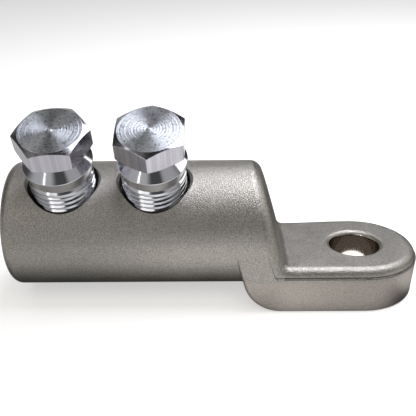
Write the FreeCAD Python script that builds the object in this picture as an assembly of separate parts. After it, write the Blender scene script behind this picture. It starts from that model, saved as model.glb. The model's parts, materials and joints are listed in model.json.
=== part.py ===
import FreeCAD, Part
import math
import os

# Bolted cable lug: a forged body with a round cable barrel and a stepped-down palm,
# and two shear-head clamping bolts screwed into the barrel wall.
# Millimetres. Origin on the palm's contact face, on the axis of the palm hole.
# +X points from the cable entry to the palm, +Z up, the bolt heads lean to -Y.

os.makedirs("parts", exist_ok=True)

V = FreeCAD.Vector

# barrel
BARREL_D = 32.0
BORE_D = 20.0
BORE_DEPTH = 52.0
DRILL_POINT_ANGLE = 118.0
ENTRY_TO_PALM_HOLE = 89.8
ENTRY_ROUND = 2.4
BORE_MOUTH_CHAMFER = 1.0

# grip grooves turned inside the bore, after a plain lead-in
PLAIN_LEAD_IN = 8.0
GROOVE_PITCH = 2.0
GROOVE_DEPTH = 0.45
GROOVE_WIDTH = 1.0

# palm, and the sloping web that joins it to the barrel
PALM_THICKNESS = 12.4
PALM_DROP = 3.2
PALM_HOLE_D = 13.0
STEP_TO_PALM_HOLE = 19.5
STEP_LEAN = 15.4
WEB_THICKNESS = 11.2
BEND_ROUND = 9.8

# the palm's width and nose are those of its contact face, and its sides flare out from there;
# the parting line runs round the palm and up the foot of the step, and all above it is set in
PALM_WIDTH = 29.4
PALM_END_REACH = 15.55
PARTING_BELOW_PALM_TOP = 2.3
PARTING_LEDGE = 0.4

# forged edges
STEP_ROUND = 3.2
STEP_FOOT_ROUND = 1.8
PALM_TOP_ROUND = 2.2
PARTING_CORNER_ROUND = 1.0
PARTING_EDGE_ROUND = 0.25
PALM_UNDER_ROUND = 1.0
PALM_HOLE_ROUND = 1.3

# bolt holes in the barrel wall
FIRST_BOLT_FROM_ENTRY = 15.1
BOLT_SPACING = 22.8
BOLT_LEAN = 24.5
THREAD_RUNNING_CLEARANCE = 0.05
COLLAR_POCKET_DEPTH = 3.0
COLLAR_POCKET_CLEARANCE = 0.25
POCKET_MOUTH_WIDENING = 0.8

# shear bolt, from its tip up
THREAD_D = 16.0
THREAD_PITCH = 1.5
TIP_CHAMFER = 1.0
TIP_ABOVE_BORE = 0.4
SHANK_LENGTH = 9.35
UNDERCUT_DEPTH = 0.7
UNDERCUT_RUN = 0.8
COLLAR_D = 17.0
COLLAR_TAPER = 0.65
COLLAR_HEIGHT = 3.2
FLARE_HEIGHT = 3.3
NECK_D = 11.0
NECK_HEIGHT = 0.35
THROAT_ROUND = 0.3
COLLAR_EDGE_ROUND = 0.2
HEAD_HEIGHT = 6.0
HEX_ACROSS_FLATS = 16.0
HEX_CHAMFER_ANGLE = 27.0
HEAD_FLAT_D = 15.1
CENTRE_PIP_D = 1.4
CENTRE_PIP_HEIGHT = 0.25

# each bolt is turned by its own angle, and its thread lifts it by that share of a pitch
BOLT_TURNS = {"cable_side_bolt": 5.8, "palm_side_bolt": 29.0}

# worked out from the sizes above
BARREL_R = BARREL_D / 2
BORE_R = BORE_D / 2
AXIS_Z = PALM_DROP + BARREL_R
NOSE_X = PALM_END_REACH - PALM_WIDTH / 2
PARTING_Z = PALM_THICKNESS - PARTING_BELOW_PALM_TOP
ENTRY_X = -ENTRY_TO_PALM_HOLE
STEP_FOOT_X = -STEP_TO_PALM_HOLE
THREAD_R = THREAD_D / 2
COLLAR_R = COLLAR_D / 2
POCKET_R = max(THREAD_R, COLLAR_R) + COLLAR_POCKET_CLEARANCE
POCKET_FLOOR = BARREL_R - COLLAR_POCKET_DEPTH
LEAN_SLOPE = math.tan(math.radians(STEP_LEAN))

# how far the upper half reaches down into the lower half
SUNK = 2.0

# how near a point has to lie to count as on an edge
SNAP = 0.001


def face_from(points):
    """A flat face whose outline is the closed run of straight lines through the points."""
    return Part.Face(Part.makePolygon(points + [points[0]]))


def turned(profile):
    """A solid of revolution about +Z from (radius, height) pairs, from axis to axis."""
    outline = [V(0, 0, profile[0][1])]
    outline += [V(radius, 0, height) for radius, height in profile]
    outline.append(V(0, 0, profile[-1][1]))
    return face_from(outline).revolve(V(0, 0, 0), V(0, 0, 1), 360)


def along_barrel(solid):
    """Lays a solid that was turned about +Z on the barrel axis, its origin at the cable entry."""
    solid.rotate(V(0, 0, 0), V(0, 1, 0), 90)
    solid.translate(V(ENTRY_X, 0, AXIS_Z))
    return solid


def on_bolt_axis(solid, station):
    """Moves a solid that was built about +Z from the barrel axis to a leaning bolt axis."""
    solid.rotate(V(0, 0, 0), V(1, 0, 0), BOLT_LEAN)
    solid.translate(V(station, 0, AXIS_Z))
    return solid


def bolt_station(index):
    """Place along X of one bolt axis."""
    return ENTRY_X + FIRST_BOLT_FROM_ENTRY + index * BOLT_SPACING


def step_x(height):
    """Place along X of the sloping step face at a height above the contact face."""
    return STEP_FOOT_X - (height - PALM_THICKNESS) * LEAN_SLOPE


def web_under_x(height):
    """Place along X of the web's sloping underside, one web thickness behind the step face."""
    return step_x(height) - WEB_THICKNESS / math.cos(math.radians(STEP_LEAN))


def leaning_slab(behind, ahead):
    """The space between two planes parallel to the step face, at distances behind it along X."""
    low = -BARREL_D
    high = AXIS_Z + BARREL_D
    side = face_from([
        V(step_x(low) - behind, -BARREL_D, low),
        V(step_x(low) - ahead, -BARREL_D, low),
        V(step_x(high) - ahead, -BARREL_D, high),
        V(step_x(high) - behind, -BARREL_D, high),
    ])
    return side.extrude(V(0, 2 * BARREL_D, 0))


def flare(half, height):
    """The lean, from upright, of a side that starts at a half width and just touches the barrel."""
    drop = AXIS_Z - height
    return math.atan2(drop, half) - math.acos(BARREL_R / math.hypot(half, drop))


def flared_half(half, height, level):
    """The half width that such a side has at another level."""
    return half + (level - height) * math.tan(flare(half, height))


def flared_bar(half, height, start, length):
    """A bar along X with the barrel's round top, whose flat sides run down to a half width."""
    lean = flare(half, height)
    touch = V(start, BARREL_R * math.cos(lean), AXIS_Z - BARREL_R * math.sin(lean))
    far_touch = V(start, -touch.y, touch.z)
    low = V(start, half, height)
    far_low = V(start, -half, height)
    section = Part.Wire([
        Part.Arc(touch, V(start, 0, AXIS_Z + BARREL_R), far_touch).toShape(),
        Part.LineSegment(far_touch, far_low).toShape(),
        Part.LineSegment(far_low, low).toShape(),
        Part.LineSegment(low, touch).toShape(),
    ])
    return Part.Face(section).extrude(V(length, 0, 0))


def upper_half_width():
    """Half the width just above the parting line."""
    return flared_half(PALM_WIDTH / 2, 0, PARTING_Z) - PARTING_LEDGE


def barrel_step_and_palm():
    """The forging above the parting line: the barrel, its flared foot at the step, the hollow
    rounding below the step and the top of the palm, all rounded along one outline."""
    low = PARTING_Z - SUNK
    half = flared_half(upper_half_width(), PARTING_Z, low)
    back = STEP_FOOT_X - STEP_ROUND
    length = STEP_FOOT_X + BARREL_D * LEAN_SLOPE - ENTRY_X
    bar = along_barrel(Part.makeCylinder(BARREL_R, length))
    bar = bar.common(leaning_slab(length + BARREL_D, 0))
    foot = flared_bar(half, low, ENTRY_X, length).common(leaning_slab(WEB_THICKNESS / 2, 0))
    palm = flared_bar(half, low, back, NOSE_X - back).common(Part.makeBox(
        NOSE_X - back, 2 * BARREL_D, PALM_THICKNESS - low, V(back, -BARREL_D, low)))
    nose = Part.makeCone(
        half, flared_half(half, low, PALM_THICKNESS), PALM_THICKNESS - low, V(NOSE_X, 0, low))
    solid = bar.fuse([foot, palm, nose]).removeSplitter()
    solid = solid.makeFillet(STEP_FOOT_ROUND, edges_where(solid, lambda p: (
        abs(p.z - PALM_THICKNESS) < SNAP and abs(p.x - STEP_FOOT_X) < SNAP)))
    solid = rounded_outline(solid)
    return solid.makeFillet(ENTRY_ROUND, edges_where(solid, lambda p: p.x < ENTRY_X + SNAP))


def rounded_outline(solid):
    """Rounds a solid round its palm and step in one run, which widens on its way up the hollow."""
    sheet = FreeCAD.newDocument("rounding")
    base = sheet.addObject("Part::Feature", "base")
    base.Shape = solid
    rounding = sheet.addObject("Part::Fillet", "rounding")
    rounding.Base = base
    radii = []
    for number, edge in enumerate(solid.Edges, 1):
        points = edge.discretize(7)
        if all(on_top_outline(point) for point in points):
            radii.append((number, outline_round(points[0]), outline_round(points[-1])))
    rounding.Edges = radii
    sheet.recompute()
    rounded = rounding.Shape.Solids[0]
    FreeCAD.closeDocument(sheet.Name)
    return rounded


def outline_round(point):
    """Radius of the outline's rounding at an end of one of its edges."""
    return STEP_ROUND if point.z > PALM_THICKNESS + SNAP else PALM_TOP_ROUND


def on_top_outline(point):
    """Whether a point lies on the outline of the palm's top, the hollow or the step face."""
    reach = STEP_FOOT_ROUND * math.tan(math.radians(90 - STEP_LEAN) / 2)
    from_hollow = math.hypot(
        point.x - STEP_FOOT_X - reach, point.z - PALM_THICKNESS - STEP_FOOT_ROUND)
    off = min(
        abs(point.z - PALM_THICKNESS), abs(point.x - step_x(point.z)),
        abs(from_hollow - STEP_FOOT_ROUND))
    return off < SNAP and on_flared_side(point, upper_half_width(), PARTING_Z)


def on_flared_side(point, half, height):
    """Whether a point lies on a flared side, on its round nose or on the barrel's surface."""
    out = math.hypot(max(point.x - NOSE_X, 0), point.y)
    on_flat = abs(out - flared_half(half, height, point.z)) < SNAP
    return on_flat or abs(math.hypot(point.y, point.z - AXIS_Z) - BARREL_R) < SNAP


def web_and_palm():
    """The forging below the parting line, and the web's inner end that is lost in the barrel:
    a round outer bend, flared sides and a half-round nose."""
    half = PALM_WIDTH / 2
    nose = Part.makeCone(half, flared_half(half, 0, PARTING_Z), PARTING_Z, V(NOSE_X, 0, 0))
    solid = flared_bar(half, 0, ENTRY_X, NOSE_X - ENTRY_X).fuse(nose)
    solid = solid.common(seen_from_the_side()).removeSplitter()
    solid = solid.makeFillet(PALM_UNDER_ROUND, edges_where(solid, lambda p: (
        on_outer_bend(p) and on_flared_side(p, half, 0))))
    return solid.makeFillet(PARTING_EDGE_ROUND, edges_where(solid, lambda p: (
        on_parting(p) and on_flared_side(p, half, 0))))


def seen_from_the_side():
    """Everything inside the outline that the web and the lower palm have from the side."""
    lean = math.radians(90 - STEP_LEAN)
    inside = AXIS_Z + BARREL_R / 2
    beyond = V(PALM_END_REACH + BARREL_R, 0, 0)
    foot = V(bend_x(), 0, 0)
    corners = [
        beyond,
        V(beyond.x, 0, PARTING_Z),
        V(step_x(PARTING_Z) - STEP_ROUND, 0, PARTING_Z),
        V(step_x(inside) - STEP_ROUND, 0, inside),
        V(web_under_x(inside), 0, inside),
        on_bend(lean),
    ]
    edges = [Part.LineSegment(a, b).toShape() for a, b in zip(corners, corners[1:])]
    edges.append(Part.Arc(on_bend(lean), on_bend(lean / 2), foot).toShape())
    edges.append(Part.LineSegment(foot, beyond).toShape())
    side = Part.Face(Part.Wire(edges))
    side.translate(V(0, -BARREL_D, 0))
    solid = side.extrude(V(0, 2 * BARREL_D, 0))
    return solid.makeFillet(PARTING_CORNER_ROUND, edges_where(solid, lambda p: (
        abs(p.x - corners[2].x) < SNAP and abs(p.z - PARTING_Z) < SNAP)))


def bend_x():
    """Place along X of the outer bend's centre."""
    return web_under_x(BEND_ROUND) + BEND_ROUND / math.cos(math.radians(STEP_LEAN))


def on_bend(angle):
    """A point on the outer bend, at an angle back and up from straight below its centre."""
    return V(bend_x() - BEND_ROUND * math.sin(angle), 0, BEND_ROUND - BEND_ROUND * math.cos(angle))


def on_outer_bend(point):
    """Whether a point lies on the web's underside, the outer bend or the contact face."""
    if point.x > bend_x():
        return abs(point.z) < SNAP
    if point.z < on_bend(math.radians(90 - STEP_LEAN)).z:
        return abs(math.hypot(point.x - bend_x(), point.z - BEND_ROUND) - BEND_ROUND) < SNAP
    return abs(point.x - web_under_x(point.z)) < SNAP


def on_parting(point):
    """Whether a point lies on the parting line: level round the palm, then up along the step."""
    crease_x = step_x(point.z) - STEP_ROUND
    if point.z > PARTING_Z + PARTING_CORNER_ROUND:
        return abs(point.x - crease_x) < SNAP
    return point.z > PARTING_Z - SNAP and point.x > crease_x - SNAP


def cable_bore():
    """The blind bore for the conductor, with a chamfered mouth and a drilled bottom."""
    point = BORE_R / math.tan(math.radians(DRILL_POINT_ANGLE / 2))
    return along_barrel(turned([
        (BORE_R + BORE_MOUTH_CHAMFER, 0),
        (BORE_R, BORE_MOUTH_CHAMFER),
        (BORE_R, BORE_DEPTH),
        (0, BORE_DEPTH + point),
    ]))


def grip_grooves():
    """The vee grooves round the bore, which bite through the oxide on the strands."""
    count = int((BORE_DEPTH - PLAIN_LEAD_IN) / GROOVE_PITCH)
    profile = [(BORE_R / 2, PLAIN_LEAD_IN)]
    for index in range(count):
        start = PLAIN_LEAD_IN + index * GROOVE_PITCH
        profile.append((BORE_R, start))
        profile.append((BORE_R + GROOVE_DEPTH, start + GROOVE_WIDTH / 2))
        profile.append((BORE_R, start + GROOVE_WIDTH))
    profile.append((BORE_R / 2, profile[-1][1]))
    return along_barrel(turned(profile))


def bolt_hole(station):
    """A threaded hole through one wall, with a pocket that takes the bolt's collar."""
    hole_r = THREAD_R + THREAD_RUNNING_CLEARANCE
    mouth_r = POCKET_R + POCKET_MOUTH_WIDENING
    over = STEP_ROUND
    return on_bolt_axis(turned([
        (hole_r, 0),
        (hole_r, POCKET_FLOOR),
        (POCKET_R, POCKET_FLOOR),
        (POCKET_R, BARREL_R - POCKET_MOUTH_WIDENING),
        (mouth_r + over, BARREL_R + over),
    ]), station)


def edges_where(solid, wanted):
    """The edges of a solid whose every sampled point passes a test."""
    return [edge for edge in solid.Edges if all(wanted(point) for point in edge.discretize(7))]


def on_palm_hole_rim(point):
    """Whether a point lies on the upper rim of the palm hole."""
    on_wall = abs(math.hypot(point.x, point.y) - PALM_HOLE_D / 2) < SNAP
    return on_wall and abs(point.z - PALM_THICKNESS) < SNAP


def lug_body():
    """Barrel, web and palm in one forging, then bored and drilled."""
    solid = barrel_step_and_palm().fuse(web_and_palm()).removeSplitter()
    solid = solid.cut(Part.makeCylinder(PALM_HOLE_D / 2, PALM_THICKNESS))
    solid = solid.makeFillet(PALM_HOLE_ROUND, edges_where(solid, on_palm_hole_rim))
    solid = solid.cut(cable_bore()).cut(grip_grooves())
    for index in range(len(BOLT_TURNS)):
        solid = solid.cut(bolt_hole(bolt_station(index)))
    return solid


def bolt_shank():
    """Threaded shank, collar that narrows to its foot, flare and shear neck, turned from one
    bar, its tip at the origin."""
    collar_z = SHANK_LENGTH
    flare_z = collar_z + COLLAR_HEIGHT
    neck_z = flare_z + FLARE_HEIGHT
    foot_r = COLLAR_R - COLLAR_TAPER
    undercut_r = min(THREAD_R, foot_r) - UNDERCUT_DEPTH
    solid = turned([
        (THREAD_R - TIP_CHAMFER, 0),
        (THREAD_R, TIP_CHAMFER),
        (THREAD_R, collar_z - UNDERCUT_RUN),
        (undercut_r, collar_z),
        (foot_r, collar_z),
        (COLLAR_R, flare_z),
        (NECK_D / 2, neck_z),
        (NECK_D / 2, neck_z + NECK_HEIGHT),
    ])
    rim = edges_where(solid, lambda p: (
        abs(math.hypot(p.x, p.y) - foot_r) + abs(p.z - collar_z) < SNAP
        or abs(math.hypot(p.x, p.y) - COLLAR_R) + abs(p.z - flare_z) < SNAP))
    throat = edges_where(solid, lambda p: (
        abs(math.hypot(p.x, p.y) - NECK_D / 2) < SNAP and abs(p.z - neck_z) < SNAP))
    return solid.makeFillet(COLLAR_EDGE_ROUND, rim).makeFillet(THROAT_ROUND, throat)


def hex_head():
    """The hexagon head that shears off, chamfered above and below, with the lathe's centre pip."""
    corner_r = HEX_ACROSS_FLATS / math.sqrt(3)
    flat_r = HEAD_FLAT_D / 2
    wide_r = 2 * corner_r - flat_r
    drop = (wide_r - flat_r) * math.tan(math.radians(HEX_CHAMFER_ANGLE))
    corners = []
    for index in range(6):
        angle = math.radians(60 * index)
        corners.append(V(corner_r * math.cos(angle), corner_r * math.sin(angle), 0))
    prism = face_from(corners).extrude(V(0, 0, HEAD_HEIGHT))
    blank = turned([(flat_r, 0), (wide_r, drop), (wide_r, HEAD_HEIGHT - drop), (flat_r, HEAD_HEIGHT)])
    pip = Part.makeCone(CENTRE_PIP_D / 2, 0, CENTRE_PIP_HEIGHT, V(0, 0, HEAD_HEIGHT))
    return prism.common(blank).fuse(pip)


def shear_bolt(index, turn):
    """One bolt in its place, its tip just clear of the bore, lifted by its own turn."""
    head = hex_head()
    head.translate(V(0, 0, SHANK_LENGTH + COLLAR_HEIGHT + FLARE_HEIGHT + NECK_HEIGHT))
    bolt = bolt_shank().fuse(head)
    bolt.rotate(V(0, 0, 0), V(0, 0, 1), turn)
    bolt.translate(V(0, 0, BORE_R + TIP_ABOVE_BORE + THREAD_PITCH * turn / 360))
    return on_bolt_axis(bolt, bolt_station(index))


lug_body().exportStep("parts/lug_body.step")
for bolt_index, (bolt_name, bolt_turn) in enumerate(BOLT_TURNS.items()):
    shear_bolt(bolt_index, bolt_turn).exportStep("parts/" + bolt_name + ".step")
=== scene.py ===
import bpy
import json
import math
import numpy as np
from mathutils import Matrix, Vector


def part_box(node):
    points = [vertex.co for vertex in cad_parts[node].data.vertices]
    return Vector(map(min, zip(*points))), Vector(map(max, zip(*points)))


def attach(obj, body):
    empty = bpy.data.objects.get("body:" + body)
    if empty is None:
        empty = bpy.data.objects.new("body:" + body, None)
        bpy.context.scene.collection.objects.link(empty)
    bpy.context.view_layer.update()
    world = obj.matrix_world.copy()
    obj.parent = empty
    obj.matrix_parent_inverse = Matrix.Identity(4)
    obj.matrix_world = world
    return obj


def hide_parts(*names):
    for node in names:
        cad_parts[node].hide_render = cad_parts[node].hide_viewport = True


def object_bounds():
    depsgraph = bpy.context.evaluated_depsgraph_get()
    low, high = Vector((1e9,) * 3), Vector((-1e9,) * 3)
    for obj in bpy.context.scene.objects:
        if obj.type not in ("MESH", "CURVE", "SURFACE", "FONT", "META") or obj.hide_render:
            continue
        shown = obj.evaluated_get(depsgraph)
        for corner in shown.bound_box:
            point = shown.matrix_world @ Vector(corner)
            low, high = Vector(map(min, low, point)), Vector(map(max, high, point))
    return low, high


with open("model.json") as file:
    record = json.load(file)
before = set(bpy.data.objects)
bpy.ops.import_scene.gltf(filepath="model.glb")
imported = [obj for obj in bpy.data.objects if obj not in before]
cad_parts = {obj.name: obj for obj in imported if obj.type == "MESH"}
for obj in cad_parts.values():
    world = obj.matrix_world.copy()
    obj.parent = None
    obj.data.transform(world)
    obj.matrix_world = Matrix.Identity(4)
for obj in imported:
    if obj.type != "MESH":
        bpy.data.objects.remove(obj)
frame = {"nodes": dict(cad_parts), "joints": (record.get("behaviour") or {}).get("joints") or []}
cad_low, cad_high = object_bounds()

# The body: one aluminium forging, barrel, web and palm in one, tumbled and tin plated to a
# fine satin grain, then bored, drilled and tapped. Its solid carries over as it is, and only
# its finish is made here: plated grain outside, smooth turned walls in the palm's hole and the
# bore, bare walls painted dark as shade in the tapped holes, painted shade along the ledge, and
# a painted reflection of the paper below the ledge.
BODY = frame["nodes"]["lug_body"]
BODY_LOW, BODY_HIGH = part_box("lug_body")
MM = 0.001
BARREL_RADIUS = BODY_HIGH.y
BARREL_AXIS_Z = BODY_HIGH.z - BARREL_RADIUS
PALM_HOLE_RADIUS = 6.5 * MM
BORE_RADIUS = 10.0 * MM
BORE_END_X = BODY_LOW.x + 60.0 * MM

# how far from its axis each hole's finish reaches: past its wall, grooves or pocket
PALM_HOLE_REACH = PALM_HOLE_RADIUS * 1.02
BORE_REACH = BORE_RADIUS * 1.12
BOLT_HOLE_REACH = 8.75 * MM * 1.01

BOLT_AXIS = np.array(frame["joints"][0]["axis"])
FIRST_BOLT_FROM_ENTRY = 15.1 * MM
BOLT_SPACING = 22.8 * MM
BOLT_NODES = ["cable_side_bolt", "palm_side_bolt"]
BOLT_STATIONS = [
    BODY_LOW.x + FIRST_BOLT_FROM_ENTRY + index * BOLT_SPACING for index in range(len(BOLT_NODES))]

TIN_LIGHT = "C2BEB7"
TIN_DARK = "B4AFA7"
TIN_PIT = "8E8983"
# a painted reflection of the warm paper, laid on below the ledge
TIN_LOWER_PAINTED_REFLECTION = "C6B8AF"
TIN_MACHINED = "CEC3B8"
# painted shade: the thin dark line along the ledge round the palm
LEDGE_PAINTED_SHADE = "7A7670"
# painted shade: the tapped pockets round the bolts are painted this dark where shade falls deep in
# them
POCKET_PAINTED_SHADE = "4A4744"
PLATED_ROUGHNESS = (0.38, 0.44)
MACHINED_ROUGHNESS = 0.1
POCKET_ROUGHNESS = 0.5

# the plate's real grain is finer than the picture can show, so grain and pits are drawn
# about a pixel coarse
GRAIN_SIZE = 0.27 * MM
GRAIN_HEIGHT = 0.12 * MM
PIT_SIZE = 0.3 * MM
PIT_SHARE = 0.6
BLOTCH_SIZE = 7.0 * MM

# the flash line is a faint ridge along the barrel; painted shade marks the ledge round the palm,
# and below the ledge the skin is painted lighter and warmer as a reflection of the paper, and
# smoother
FLASH_LINE_Z = 20.9 * MM
FLASH_LINE_WIDTH = 0.22 * MM
FLASH_LINE_HEIGHT = 0.35
LEDGE_Z = 10.1 * MM
LEDGE_WIDTH = 0.3 * MM
LEDGE_START_X = -20.0 * MM
LOWER_HALF_BLEND = 2.0 * MM
LOWER_PAINTED_REFLECTION = 0.35
LOWER_HALF_GRAIN = 0.5


def linear(code):
    """sRGB hex to linear: c / 12.92 up to 0.04045, and ((c + 0.055) / 1.055) ^ 2.4 above it."""
    srgb = np.array([int(code[i:i + 2], 16) for i in (0, 2, 4)]) / 255
    rgb = np.where(srgb <= 0.04045, srgb / 12.92, ((srgb + 0.055) / 1.055) ** 2.4)
    return (*rgb, 1.0)


def add_node(tree, kind, inputs=(), **settings):
    """Adds a shader node, sets its properties, sets or links its inputs, given by name, by
    number or in order, and returns its outputs."""
    node = tree.nodes.new("ShaderNode" + kind)
    for name, value in settings.items():
        setattr(node, name, value)
    named = inputs if isinstance(inputs, dict) else dict(enumerate(inputs))
    for name, value in named.items():
        if isinstance(value, bpy.types.NodeSocket):
            tree.links.new(value, node.inputs[name])
        else:
            node.inputs[name].default_value = value
    return node.outputs


def start_material(name):
    """A new material with its nodes cleared, and its tree."""
    material = bpy.data.materials.new(name)
    material.use_nodes = True
    material.node_tree.nodes.clear()
    return material, material.node_tree


def distance_from_axis(tree, place, foot, direction):
    """Distance of a point from a line: the length of (point - foot) x direction."""
    arm = add_node(tree, "VectorMath", (place, foot), operation="SUBTRACT")[0]
    across = add_node(tree, "VectorMath", (arm, direction), operation="CROSS_PRODUCT")[0]
    return add_node(tree, "VectorMath", (across,), operation="LENGTH")["Value"]


def tin_plate():
    """Satin tin plate on forged aluminium: a warm grey metal whose fine grain glitters where
    light turns to shade. The palm's hole and the bore were machined smooth, and the tapped holes
    under the bolts are bare and dull, their walls painted dark as the shade deep in the pocket.
    Below the ledge the plate is painted lighter and warmer as a reflection of the paper, and the
    ledge itself is a thin line of painted shade."""
    material, tree = start_material("satin_tin_plate")
    place = add_node(tree, "TexCoord")["Object"]
    along, _, height = add_node(tree, "SeparateXYZ", (place,))

    # where it was machined, and the tapped pockets, painted dark as shade
    from_hole = distance_from_axis(tree, place, (0, 0, 0), (0, 0, 1))
    in_hole = add_node(tree, "Math", (from_hole, PALM_HOLE_REACH), operation="LESS_THAN")[0]
    from_bore = distance_from_axis(tree, place, (0, 0, BARREL_AXIS_Z), (1, 0, 0))
    in_bore = add_node(tree, "Math", (from_bore, BORE_REACH), operation="LESS_THAN")[0]
    before_end = add_node(tree, "Math", (along, BORE_END_X), operation="LESS_THAN")[0]
    in_bore = add_node(tree, "Math", (in_bore, before_end), operation="MULTIPLY")[0]
    machined = add_node(tree, "Math", (in_hole, in_bore), operation="MAXIMUM")[0]
    # the tapped pockets round each bolt, painted dark as the shade deep in them
    pocket_shade = 0.0
    for station in BOLT_STATIONS:
        from_bolt = distance_from_axis(tree, place, (station, 0, BARREL_AXIS_Z), tuple(BOLT_AXIS))
        near_bolt = add_node(tree, "Math", (from_bolt, BOLT_HOLE_REACH), operation="LESS_THAN")[0]
        pocket_shade = add_node(tree, "Math", (pocket_shade, near_bolt), operation="MAXIMUM")[0]
    above_axis = add_node(tree, "Math", (height, BARREL_AXIS_Z), operation="GREATER_THAN")[0]
    pocket_shade = add_node(tree, "Math", (pocket_shade, above_axis), operation="MULTIPLY")[0]

    # colour, laid on from the plate up to the pockets' painted shade
    blotch = add_node(tree, "TexNoise", {
        "Vector": place, "Scale": 1 / BLOTCH_SIZE, "Detail": 3.0, "Roughness": 0.55})["Fac"]
    pit = add_node(tree, "TexNoise", {
        "Vector": place, "Scale": 1 / PIT_SIZE, "Detail": 0.0})["Fac"]
    pit = add_node(
        tree, "MapRange", (pit, 0.62, 0.38, 0.0, PIT_SHARE), interpolation_type="SMOOTHSTEP")[0]
    upper = add_node(tree, "MapRange", (
        height, LEDGE_Z - LOWER_HALF_BLEND, LEDGE_Z, 0.0, 1.0), interpolation_type="SMOOTHSTEP")[0]
    # below the ledge the plate is painted lighter and warmer, a painted reflection of the paper
    warm = add_node(tree, "MapRange", (
        upper, 0.0, 1.0, LOWER_PAINTED_REFLECTION, 0.0), interpolation_type="SMOOTHSTEP")[0]
    # the ledge: a thin line of painted shade under the step
    at_ledge = add_node(tree, "Math", (height, LEDGE_Z, LEDGE_WIDTH), operation="COMPARE")[0]
    on_palm = add_node(tree, "Math", (along, LEDGE_START_X), operation="GREATER_THAN")[0]
    painted_ledge_shade = add_node(tree, "Math", (at_ledge, on_palm), operation="MULTIPLY")[0]
    colour = linear(TIN_DARK)
    for share, layer in (
            (blotch, TIN_LIGHT), (pit, TIN_PIT), (warm, TIN_LOWER_PAINTED_REFLECTION), (painted_ledge_shade, LEDGE_PAINTED_SHADE),
            (machined, TIN_MACHINED), (pocket_shade, POCKET_PAINTED_SHADE)):
        colour = add_node(tree, "Mix", {0: share, 6: colour, 7: linear(layer)}, data_type="RGBA")[2]

    rough = add_node(
        tree, "MapRange", (blotch, 0.3, 0.7, *PLATED_ROUGHNESS), interpolation_type="SMOOTHSTEP")[0]
    for share, finish in ((machined, MACHINED_ROUGHNESS), (pocket_shade, POCKET_ROUGHNESS)):
        rough = add_node(tree, "Mix", {0: share, 2: rough, 3: finish}, data_type="FLOAT")[0]

    # relief: the grain, and the flash line's ridge along the side of the barrel
    grain = add_node(tree, "TexNoise", {
        "Vector": place, "Scale": 1 / GRAIN_SIZE, "Detail": 1.0, "Roughness": 0.5})["Fac"]
    flash = add_node(tree, "Math", (height, FLASH_LINE_Z, FLASH_LINE_WIDTH), operation="COMPARE")[0]
    relief = add_node(tree, "Math", (flash, FLASH_LINE_HEIGHT, grain), operation="MULTIPLY_ADD")[0]
    bare = add_node(tree, "Math", (machined, pocket_shade), operation="MAXIMUM")[0]
    plated = add_node(tree, "Math", (1.0, bare), operation="SUBTRACT")[0]
    grainy = add_node(tree, "MapRange", (
        upper, 0.0, 1.0, LOWER_HALF_GRAIN, 1.0), interpolation_type="SMOOTHSTEP")[0]
    strength = add_node(tree, "Math", (plated, grainy), operation="MULTIPLY")[0]
    normal = add_node(tree, "Bump", {
        "Height": relief, "Strength": strength, "Distance": GRAIN_HEIGHT})[0]
    shader = add_node(tree, "BsdfPrincipled", {
        "Base Color": colour, "Metallic": 1.0, "Roughness": rough, "Normal": normal})[0]
    add_node(tree, "OutputMaterial", {"Surface": shader})
    return material


BODY.data.materials.clear()
BODY.data.materials.append(tin_plate())
even = BODY.modifiers.new("flats_keep_their_normals", "WEIGHTED_NORMAL")
even.mode = "FACE_AREA"
even.weight = 100
even.keep_sharp = True

# The shear bolts: each is one piece of bright alloy with a tapered collar, a flare and a thin
# neck above its thread, where the hexagon breaks off at the right torque. Both screw through
# the barrel's wall, lean towards the installer and differ only in how far they are turned.
BOLT_LEAN = math.atan2(-BOLT_AXIS[1], BOLT_AXIS[2])
BOLT_TURNS = [5.8, 29.0]
TIP_FROM_AXIS = 10.4 * MM
THREAD_RADIUS = 8.0 * MM
THREAD_PITCH = 1.5 * MM
THREAD_DEPTH = 0.9 * MM
THREAD_END = 7.65 * MM
THREAD_VEE = 1.3
THREAD_CREST = 0.14
ROWS_IN_A_PITCH = 24
TIP_CHAMFER = 1.0 * MM
TIP_CHAMFER_ROWS = 15
SHANK_LENGTH = 9.35 * MM
UNDERCUT_RUN = 0.8 * MM
UNDERCUT_DEPTH = 0.7 * MM
COLLAR_RADIUS = 8.5 * MM
COLLAR_TAPER = 0.65 * MM
COLLAR_HEIGHT = 3.2 * MM
FLARE_HEIGHT = 3.3 * MM
NECK_RADIUS = 5.5 * MM
NECK_HEIGHT = 0.35 * MM
HEAD_FOOT = SHANK_LENGTH + COLLAR_HEIGHT + FLARE_HEIGHT + NECK_HEIGHT
HEAD_HEIGHT = 6.0 * MM
HEAD_FLAT_RADIUS = 7.55 * MM
HEX_APOTHEM = 8.0 * MM
HEX_EDGE_ROUND = 0.25 * MM
HEX_CHAMFER_ANGLE = math.radians(27)
HALF_FLAT = math.radians(30)
JOIN_GAP = 0.01 * MM
PIP_RADIUS = 0.7 * MM
PIP_TOP_RADIUS = PIP_RADIUS * 0.35
PIP_HEIGHT = 0.25 * MM

# the rounding of each corner of the outlines, from the thread up to the centre pip
SHANK_ROUNDS = np.array([0.06, 0.08, 0.2, 0.2, 0.15]) * MM
HEAD_ROUNDS = np.array([0.05, 0.15, 0.12, 0.12, 0.15, 0.08, 0.1]) * MM

ALLOY_TURNED = "E4E5EA"
ALLOY_FACED = "D4D6DC"
ALLOY_DRAWN = "D4D1D8"
ALLOY_STREAK = "C5C3CB"
ALLOY_STAIN = "565B64"
SMEAR_SIZE = 2.5 * MM
SMEAR_ROUGHNESS = (0.85, 1.2)
STAIN_SIZE = 0.6 * MM
STAIN_SHARE = 0.6
STREAKS_IN_A_TURN = 70

# the cutter's feed was a few tenths of a millimetre, drawn a little wider so that it shows
TURNING_FEED = 0.55 * MM


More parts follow.
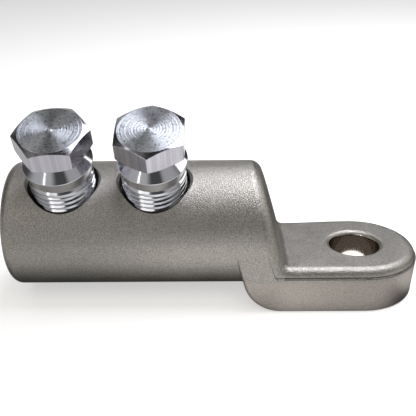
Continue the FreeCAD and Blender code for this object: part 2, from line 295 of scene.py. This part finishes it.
def bolt_material(name, colour, roughness, anisotropy, ring_height, marks=None):
    """Bright machined alloy. Cutter rings run round the bolt's axis and stretch each highlight
    across them. Its UV map holds the turn, 0 to 1, and the distance along the outline in feeds.
    Its marks are streaks along the axis, which follow the turn alone, or small dull stains."""
    material, tree = start_material(name)
    place = add_node(tree, "TexCoord")["Object"]
    uv = add_node(tree, "UVMap", uv_map="turn_and_distance")[0]
    turn, distance, _ = add_node(tree, "SeparateXYZ", (uv,))
    alloy = linear(colour)
    if marks == "streaks":
        streak = add_node(tree, "TexNoise", {
            "W": turn, "Scale": STREAKS_IN_A_TURN, "Detail": 2.0, "Roughness": 0.6,
        }, noise_dimensions="1D")["Fac"]
        share = add_node(
            tree, "MapRange", (streak, 0.35, 0.65, 1.0, 0.0), interpolation_type="SMOOTHSTEP")[0]
        alloy = add_node(
            tree, "Mix", {0: share, 6: alloy, 7: linear(ALLOY_STREAK)}, data_type="RGBA")[2]
    if marks == "stains":
        stain = add_node(tree, "TexNoise", {
            "Vector": place, "Scale": 1 / STAIN_SIZE, "Detail": 2.0, "Roughness": 0.6})["Fac"]
        share = add_node(tree, "MapRange", (
            stain, 0.5, 0.68, 0.0, STAIN_SHARE), interpolation_type="SMOOTHSTEP")[0]
        alloy = add_node(
            tree, "Mix", {0: share, 6: alloy, 7: linear(ALLOY_STAIN)}, data_type="RGBA")[2]
    smear = add_node(tree, "TexNoise", {
        "Vector": place, "Scale": 1 / SMEAR_SIZE, "Detail": 3.0})["Fac"]
    rough = add_node(tree, "MapRange", (
        smear, 0.3, 0.7, *(roughness * share for share in SMEAR_ROUGHNESS)))[0]
    rings = add_node(tree, "TexNoise", {
        "W": distance, "Scale": 1.0, "Detail": 1.0, "Roughness": 0.5}, noise_dimensions="1D")["Fac"]
    normal = add_node(tree, "Bump", {"Height": rings, "Strength": 1.0, "Distance": ring_height})[0]
    tangent = add_node(tree, "Tangent", direction_type="UV_MAP", uv_map="turn_and_distance")[0]
    shader = add_node(tree, "BsdfPrincipled", {
        "Base Color": alloy, "Metallic": 1.0, "Roughness": rough, "Anisotropic": anisotropy,
        "Anisotropic Rotation": 0.25, "Normal": normal, "Tangent": tangent})[0]
    add_node(tree, "OutputMaterial", {"Surface": shader})
    return material


# a fine turning cut on thread, collar and flare: almost a mirror
TURNED_SHANK = bolt_material("bright_alloy_turned_shank", ALLOY_TURNED, 0.12, 0.3, 0.002 * MM)

# a coarse facing cut on the head's end: its rings fan each lamp out into a bright sector
FACED_END = bolt_material("bright_alloy_faced_end", ALLOY_FACED, 0.34, 0.9, 0.1 * MM, "stains")

# the hexagon's flats, drawn through a die: smooth, with faint grey streaks along the axis
DRAWN_FLATS = bolt_material("bright_alloy_drawn_flats", ALLOY_DRAWN, 0.16, 0.0, 0.0, "streaks")


def rounded(radii, heights, rounds, margin, steps=5):
    """The outline through (radius, height) corners with each inner corner cut by an arc, which
    starts and ends r / tan(half the corner's angle) from it. One spare point beyond each end of
    the arc keeps the flats flat. A corner may hold one number or one for each column."""
    corners = np.stack(np.split(np.stack(np.broadcast_arrays(*radii, *heights)), 2), axis=-1)
    at = corners[1:-1]
    back = corners[:-2] - at
    back = back / np.linalg.norm(back, axis=-1, keepdims=True)
    ahead = corners[2:] - at
    ahead = ahead / np.linalg.norm(ahead, axis=-1, keepdims=True)
    inward = (back + ahead) / np.linalg.norm(back + ahead, axis=-1, keepdims=True)
    half = np.arccos(np.clip((back * ahead).sum(axis=-1, keepdims=True), -1, 1)) / 2
    rounds = rounds.reshape(-1, *[1] * (corners.ndim - 1))
    start = at + back * rounds / np.tan(half)
    end = at + ahead * rounds / np.tan(half)
    centre = at + inward * rounds / np.sin(half)
    share = np.linspace(0, 1, steps).reshape(-1, *[1] * corners.ndim)
    spokes = (start - centre) * (1 - share) + (end - centre) * share
    arcs = centre + spokes / np.linalg.norm(spokes, axis=-1, keepdims=True) * rounds
    runs = np.concatenate([[start + back * margin], arcs, [end + ahead * margin]])
    runs = runs.swapaxes(0, 1).reshape(-1, *corners.shape[1:])
    return np.concatenate([corners[:1], runs, corners[-1:]])


def shank_grid(turns):
    """Radius and height of the turned part. Its outline is carried round the axis, and between
    tip and thread end the radius dips by the thread's depth times a vee of the phase
    height / pitch - turn, flat on its crest and root, which fades over half a pitch at the end."""
    collar_z = SHANK_LENGTH
    flare_z = collar_z + COLLAR_HEIGHT
    neck_z = flare_z + FLARE_HEIGHT
    foot_radius = COLLAR_RADIUS - COLLAR_TAPER
    last_thread_z = THREAD_END + THREAD_PITCH / 2
    chamfer_z = np.linspace(0, TIP_CHAMFER, TIP_CHAMFER_ROWS + 1)[1:]
    chamfer = np.stack([THREAD_RADIUS - TIP_CHAMFER + chamfer_z, chamfer_z], axis=1)
    thread_z = np.arange(TIP_CHAMFER, last_thread_z, THREAD_PITCH / ROWS_IN_A_PITCH)[1:]
    thread = np.stack([np.full(thread_z.size, THREAD_RADIUS), thread_z], axis=1)
    upper = rounded(
        [THREAD_RADIUS, THREAD_RADIUS, foot_radius - UNDERCUT_DEPTH, foot_radius, COLLAR_RADIUS,
         NECK_RADIUS, NECK_RADIUS],
        [thread_z[-1] + 0.05 * MM, collar_z - UNDERCUT_RUN, collar_z, collar_z, flare_z, neck_z,
         neck_z + NECK_HEIGHT / 2],
        SHANK_ROUNDS, margin=0.04 * MM)
    tip = np.array([(0, 0), (THREAD_RADIUS - TIP_CHAMFER, 0)])
    outline = np.concatenate([tip, chamfer, thread, upper])
    radius = np.repeat(outline[:, :1], turns.size, axis=1)
    height = np.repeat(outline[:, 1:], turns.size, axis=1)
    phase = (height / THREAD_PITCH - turns / (2 * np.pi)) % 1.0
    vee = np.clip((1 - np.abs(2 * phase - 1)) * THREAD_VEE - THREAD_CREST, 0, 1)
    fade = np.clip((THREAD_END + THREAD_PITCH / 4 - height) / THREAD_PITCH * 2, 0, 1)
    threaded = (height > 0) & (height < last_thread_z)
    cut = np.minimum(radius, THREAD_RADIUS - THREAD_DEPTH * vee * fade)
    return np.where(threaded, cut, radius), height


def hexagon_radius(turns):
    """Distance from the axis to a hexagon with rounded corners, by the angle off the nearest
    corner: on the flats apothem / cos(30 - angle), and on the rounding the far cut of a circle."""
    side = 2 * HALF_FLAT
    off = np.abs((turns + side / 2) % side - side / 2)
    flat = HEX_APOTHEM / np.cos(HALF_FLAT - off)
    centre = (HEX_APOTHEM - HEX_EDGE_ROUND) / math.cos(HALF_FLAT)
    inside = np.clip(HEX_EDGE_ROUND ** 2 - (centre * np.sin(off)) ** 2, 0, None)
    arc = centre * np.cos(off) + np.sqrt(inside)
    touch = math.atan2(
        HEX_EDGE_ROUND * math.sin(HALF_FLAT), centre + HEX_EDGE_ROUND * math.cos(HALF_FLAT))
    return np.where(off < touch, np.minimum(arc, flat), flat)


def head_grid(turns):
    """Radius and height of the hexagon head. In each half plane through the axis the outline
    runs out under the head, up its flat and in over its face, with 27 degree chamfers that
    start at the flat circle, and every break rounded."""
    low = HEAD_FOOT
    high = HEAD_FOOT + HEAD_HEIGHT
    edge = hexagon_radius(turns)
    drop = (edge - HEAD_FLAT_RADIUS) * math.tan(HEX_CHAMFER_ANGLE)
    outline = rounded(
        [NECK_RADIUS, NECK_RADIUS, HEAD_FLAT_RADIUS, edge, edge, HEAD_FLAT_RADIUS, PIP_RADIUS,
         PIP_TOP_RADIUS, 0],
        [low - NECK_HEIGHT * 0.3, low, low, low + drop, high - drop, high, high,
         high + PIP_HEIGHT, high + PIP_HEIGHT],
        HEAD_ROUNDS, margin=0.02 * MM)
    return outline[..., 0], outline[..., 1]


def hexagon_turns(count=16):
    """Angles round the axis: even steps on each flat and a denser run across each corner."""
    corner = np.array([-2.4, -1.6, -1.1, -0.8, -0.5, -0.2, 0.2, 0.5, 0.8, 1.1, 1.6, 2.4])
    side = np.concatenate([corner, np.linspace(4, 56, count)])
    return np.radians((side + 60 * np.arange(6)[:, None]).ravel())


def bolt_mesh(name, turns, turn, station):
    """Both grids as one closed skin of quads about +Z, turned by the bolt's own angle, raised
    by that share of the pitch, leaned about X and set on the barrel axis."""
    shank_radius, shank_z = shank_grid(turns)
    head_radius, head_z = head_grid(turns)
    below_head = shank_z[:, 0] < head_z[0, 0] - JOIN_GAP
    radius = np.concatenate([shank_radius[below_head], head_radius])[1:-1]
    height = np.concatenate([shank_z[below_head], head_z])[1:-1]
    rows, columns = radius.shape
    angle = turns + math.radians(turn)
    lift = TIP_FROM_AXIS + THREAD_PITCH * turn / 360
    x = np.append(radius * np.cos(angle), [0, 0])
    y = np.append(radius * np.sin(angle), [0, 0])
    rise = np.append(height, [0, head_z[-1, 0]]) + lift
    lean_cos, lean_sin = math.cos(BOLT_LEAN), math.sin(BOLT_LEAN)
    points = np.stack([
        x + station, y * lean_cos - rise * lean_sin, y * lean_sin + rise * lean_cos + BARREL_AXIS_Z,
    ], axis=-1)

    # quads between the rows, and a fan of triangles to the last two points, tip and pip
    row, column = np.meshgrid(np.arange(rows - 1), np.arange(columns), indexing="ij")
    beside = (column + 1) % columns
    quads = np.stack([
        row * columns + column, row * columns + beside, (row + 1) * columns + beside,
        (row + 1) * columns + column], axis=-1).reshape(-1, 4)
    ring = np.arange(columns)
    next_ring = (ring + 1) % columns
    tip = np.full(columns, rows * columns)
    last = (rows - 1) * columns
    foot = np.stack([tip, next_ring, ring], axis=1)
    cap = np.stack([tip + 1, last + ring, last + next_ring], axis=1)
    mesh = bpy.data.meshes.new(name)
    mesh.from_pydata(points.tolist(), [], quads.tolist() + foot.tolist() + cap.tolist())
    mesh.polygons.foreach_set("use_smooth", np.ones(len(mesh.polygons), bool))

    # the faced end lies on top inside the flat circle, and the drawn flats are the rest of the head
    finishes = [TURNED_SHANK, FACED_END, DRAWN_FLATS]
    for material in finishes:
        mesh.materials.append(material)
    turned, faced, drawn = range(len(finishes))
    finish = np.full((rows - 1, columns), turned)
    finish[below_head.sum() - 1:] = drawn
    on_top = height[:-1] > HEAD_FOOT + HEAD_HEIGHT * 0.75
    finish[on_top & ((radius[:-1] + radius[1:]) / 2 < HEAD_FLAT_RADIUS)] = faced
    mesh.polygons.foreach_set("material_index", np.concatenate([
        finish.ravel(), np.full(columns, turned), np.full(columns, faced)]))

    # UV: the turn round the axis, and the distance along the outline counted in cutter feeds;
    # a quad across the seam ends at turn 1 and not at 0
    step = np.hypot(np.diff(radius[:, 0]), np.diff(height[:, 0]))
    feeds = np.append(0, np.cumsum(step)) / TURNING_FEED
    u = np.append(np.tile(np.arange(columns) / columns, rows), [0, 0])
    v = np.append(np.repeat(feeds, columns), [0, feeds[-1] + radius[-1, 0] / TURNING_FEED])
    loops = np.empty(len(mesh.loops), int)
    mesh.loops.foreach_get("vertex_index", loops)
    uv = np.stack([u[loops], v[loops]], axis=1)
    quad_u = uv[:quads.size, 0].reshape(-1, 4)
    quad_u[np.ptp(quad_u, axis=1) > 0.5] += [0, 1, 1, 0]
    uv[:quads.size, 0] = quad_u.ravel()
    layer = mesh.uv_layers.new(name="turn_and_distance")
    layer.data.foreach_set("uv", uv.ravel())
    mesh.validate()
    mesh.update()
    return mesh


for node, turn, station in zip(BOLT_NODES, BOLT_TURNS, BOLT_STATIONS):
    name = node + "_threaded"
    bolt = bpy.data.objects.new(name, bolt_mesh(name, hexagon_turns(), turn, station))
    bpy.context.scene.collection.objects.link(bolt)
    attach(bolt, node)
    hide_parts(node)

# The floor: one wide pale sheet of paper under the lug. It is light to the lens and keeps the
# shadow that the lug throws on it, but to the bright metal it shows a painted glow instead of its
# own lighting: patches of painted light and painted shade.
HALF_FLOOR = 3.0
FLOOR_WHITE = "E6E4E2"
LENS_GLOW = 0.5
DIMMEST = 0.05
HOLE_GROUND_REACH = PALM_HOLE_RADIUS * 0.92
HOLE_GROUND_FIRST_LOOK = 2.2
HOLE_GROUND_LATER = 0.18

floor_mesh = bpy.data.meshes.new("floor")
floor_mesh.from_pydata([
    (-HALF_FLOOR, -HALF_FLOOR, 0), (HALF_FLOOR, -HALF_FLOOR, 0), (HALF_FLOOR, HALF_FLOOR, 0),
    (-HALF_FLOOR, HALF_FLOOR, 0)], [], [(0, 1, 2, 3)])
floor = bpy.data.objects.new("floor", floor_mesh)
bpy.context.scene.collection.objects.link(floor)
floor_material, tree = start_material("pale_paper_sweep")
floor_mesh.materials.append(floor_material)
path = add_node(tree, "LightPath")
place = add_node(tree, "TexCoord")["Object"]
along, depth, _ = add_node(tree, "SeparateXYZ", (place,))
paper = add_node(tree, "BsdfDiffuse", {"Color": linear(FLOOR_WHITE)})[0]
for_lens = add_node(tree, "Math", (path["Is Camera Ray"], LENS_GLOW), operation="MULTIPLY")[0]
glow = add_node(tree, "Emission", {"Strength": for_lens})[0]
seen = add_node(tree, "AddShader", (paper, glow))[0]

# what the metal sees of the paper is a painted glow, as runs of light over a distance in
# millimetres along the lug or back from it: painted shade under the lug and behind it, palest
# just in front of it
runs = {
    "out_from_barrel": (depth, -8, -30, 0.0, 1.0),
    "out_from_palm": (depth, -10, -21, 0.0, 1.05),
    "beside_palm": (along, -32, -16, 0.0, 1.0),
    "far_behind": (depth, 75, 125, 0.0, 1.2),
    "left_half": (along, -20, 40, 1.0, 0.15),
    "past_nose": (along, 15, 22, 0.0, 1.5),
    "before_nose": (depth, -10, 14, 1.0, 0.1),
    "past_entry": (along, -95, -125, 0.0, 0.75),
    "far_in_front": (depth, -60, -110, 0.93, 0.6),
    "up_to_middle": (along, -75, -40, 0.66, 1.15),
    "down_to_palm": (along, -35, 5, 1.0, 0.58),
}
light = {
    name: add_node(tree, "MapRange", (
        measure, start * MM, end * MM, low, high), interpolation_type="SMOOTHSTEP")[0]
    for name, (measure, start, end, low, high) in runs.items()}
lit = light["out_from_barrel"]
for first, second in (
        ("out_from_palm", "beside_palm"), ("far_behind", "left_half"), ("past_nose", "before_nose")):
    patch = add_node(tree, "Math", (light[first], light[second]), operation="MULTIPLY")[0]
    lit = add_node(tree, "Math", (lit, patch), operation="MAXIMUM")[0]
lit = add_node(tree, "Math", (lit, light["past_entry"]), operation="MAXIMUM")[0]
for name in ("far_in_front", "up_to_middle", "down_to_palm"):
    lit = add_node(tree, "Math", (lit, light[name]), operation="MULTIPLY")[0]
lit = add_node(tree, "Math", (lit, DIMMEST), operation="ADD")[0]

# a painted glow: the ground seen through the palm's hole is white in the first mirror and dim in
# later ones
from_hole = distance_from_axis(tree, place, (0, 0, 0), (0, 0, 1))
in_hole = add_node(tree, "Math", (from_hole, HOLE_GROUND_REACH), operation="LESS_THAN")[0]
first_look = add_node(tree, "Math", (path["Glossy Depth"], 1.5), operation="LESS_THAN")[0]
ground = add_node(tree, "Math", (
    first_look, HOLE_GROUND_FIRST_LOOK, HOLE_GROUND_LATER), operation="MULTIPLY_ADD")[0]
lit = add_node(tree, "Mix", {0: in_hole, 2: lit, 3: ground}, data_type="FLOAT")[0]
mirrored = add_node(tree, "Emission", {"Strength": lit})[0]
both = add_node(tree, "MixShader", (path["Is Glossy Ray"], seen, mirrored))[0]
add_node(tree, "OutputMaterial", {"Surface": both})

# The light: a wide soft box overhead that starts right of both bolts, two panels above the
# barrel's left half, a box and a narrow strip at the front left, a box at the right, and a lamp
# for the paper alone. The room is dim, paler behind the lug and at its front corners.
CENTRE = (cad_low + cad_high) / 2
COOL_WHITE = "F4F7FF"
WARM_WHITE = "FFFDF8"
PAPER_WHITE = "FFFAF2"


def soft_box(name, place, size, radiance, colour, downwards=False):
    """A rectangular lamp of an even radiance, power = pi x area x radiance, that faces the lug
    or the floor below it."""
    lamp = bpy.data.lights.new(name, "AREA")
    lamp.shape = "RECTANGLE"
    lamp.size, lamp.size_y = size
    lamp.energy = math.pi * size[0] * size[1] * radiance
    lamp.color = linear(colour)[:3]
    box = bpy.data.objects.new(name, lamp)
    box.location = place
    aim = Vector((*place[:2], CENTRE.z)) if downwards else CENTRE
    box.rotation_euler = (aim - box.location).to_track_quat("-Z", "Y").to_euler()
    bpy.context.scene.collection.objects.link(box)
    return box


soft_box("overhead_soft_box", (0.108, 0.085, 0.42), (0.294, 0.45), 4.6, COOL_WHITE, downwards=True)
soft_box("left_panel", (-0.29, -0.03, 0.42), (0.13, 0.26), 1.3, WARM_WHITE, downwards=True)
soft_box("centre_panel", (-0.09, -0.07, 0.42), (0.06, 0.12), 1.6, WARM_WHITE, downwards=True)
soft_box("front_left_soft_box", (-0.250, -0.385, 0.31), (0.26, 0.24), 1.0, WARM_WHITE)
soft_box("front_left_strip", (-0.362, -0.430, 0.205), (0.030, 0.25), 2.6, WARM_WHITE)
soft_box("right_soft_box", (0.33, 0.09, 0.21), (0.34, 0.17), 1.4, WARM_WHITE)
paper_lamp = soft_box("paper_lamp", (0.05, -0.55, 0.6), (0.6, 0.5), 2.0, PAPER_WHITE)
paper_lamp.visible_glossy = False

world = bpy.data.worlds.new("pale_room")
bpy.context.scene.world = world
world.use_nodes = True
tree = world.node_tree
tree.nodes.clear()
path = add_node(tree, "LightPath")
toward = add_node(tree, "TexCoord")["Generated"]
right, back, up = add_node(tree, "SeparateXYZ", (toward,))
runs = {
    "behind": (back, 0.45, 0.95, 0.0, 0.5),
    "behind_left": (right, -0.05, 0.3, 1.0, 0.0),
    "front": (back, 0.1, -0.5, 0.15, 1.0),
    "front_left": (right, -0.35, 0.0, 0.5, 0.08),
    "front_right": (right, 0.3, 0.55, 0.0, 0.45),
    "low": (up, 0.4, 0.7, 1.0, 0.35),
}
light = {
    name: add_node(tree, "MapRange", run, interpolation_type="SMOOTHSTEP")[0]
    for name, run in runs.items()}
sides = add_node(
    tree, "Math", (light["front_left"], light["front_right"]), operation="MAXIMUM")[0]
ahead = add_node(tree, "Math", (light["front"], sides), operation="MULTIPLY")[0]
ahead = add_node(tree, "Math", (ahead, light["low"]), operation="MULTIPLY")[0]
lit = add_node(tree, "Math", (
    light["behind"], light["behind_left"], ahead), operation="MULTIPLY_ADD")[0]
room = add_node(tree, "Background", {"Strength": lit})[0]
white = add_node(tree, "Background", {"Color": (1, 1, 1, 1), "Strength": 1.0})[0]
both = add_node(tree, "MixShader", (path["Is Camera Ray"], room, white))[0]
add_node(tree, "OutputWorld", {"Surface": both})

# The camera: a pinhole fitted to the outline of the barrel, palm and both hexagons, 24 degrees
# above the floor and almost square on to the barrel. Its angles are in radians and its focal
# length in pixels of the photograph's frame.
CAMERA_PLACE = (-36.043 * MM, -160.654 * MM, 95.937 * MM)
CAMERA_YAW = -0.018132
CAMERA_PITCH = 0.426747
CAMERA_ROLL = -0.015186
CAMERA_FOCUS = 673.11
FRAME_PIXELS = 416
SENSOR_WIDTH = 36.0
lens = bpy.data.cameras.new("camera")
lens.sensor_width = SENSOR_WIDTH
lens.lens = CAMERA_FOCUS * SENSOR_WIDTH / FRAME_PIXELS
lens.clip_start = 10 * MM
camera = bpy.data.objects.new("camera", lens)
camera.location = CAMERA_PLACE
camera.rotation_mode = "QUATERNION"
forward = np.array([
    math.sin(CAMERA_YAW) * math.cos(CAMERA_PITCH), math.cos(CAMERA_YAW) * math.cos(CAMERA_PITCH),
    -math.sin(CAMERA_PITCH)])
level = np.array([math.cos(CAMERA_YAW), -math.sin(CAMERA_YAW), 0.0])
upright = np.cross(level, forward)
across = math.cos(CAMERA_ROLL) * level + math.sin(CAMERA_ROLL) * upright
upward = -math.sin(CAMERA_ROLL) * level + math.cos(CAMERA_ROLL) * upright
facing = Matrix(np.stack([across, upward, -forward], axis=1).tolist())
camera.rotation_quaternion = facing.to_quaternion()
bpy.context.scene.collection.objects.link(camera)
bpy.context.scene.camera = camera
bpy.context.scene.view_settings.view_transform = "Standard"
